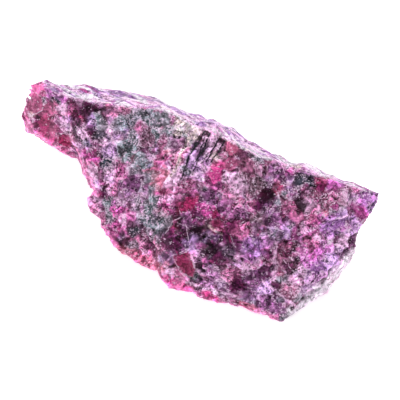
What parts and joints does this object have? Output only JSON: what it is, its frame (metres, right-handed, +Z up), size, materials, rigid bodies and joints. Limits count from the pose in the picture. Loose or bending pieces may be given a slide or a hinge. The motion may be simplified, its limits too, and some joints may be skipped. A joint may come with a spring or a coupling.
{
  "type": "rough eudialyte rock specimen",
  "caption": "Hand-sized piece of rough, purple and pink speckled rock, a long wedge broken on all sides, that lies on its flattest side.",
  "frame": {"origin": "on the table under the middle of the stone's ridge", "axes": "+X along the stone's length towards its thick end, -Y towards the sloping broad face, +Z up from the table"},
  "size_m": [0.0862, 0.0431, 0.0263],
  "materials": {
    "rock": "rough broken, glassy grains"
  },
  "bodies": {
    "root": {"stone": "rock"}
  },
  "joints": []
}
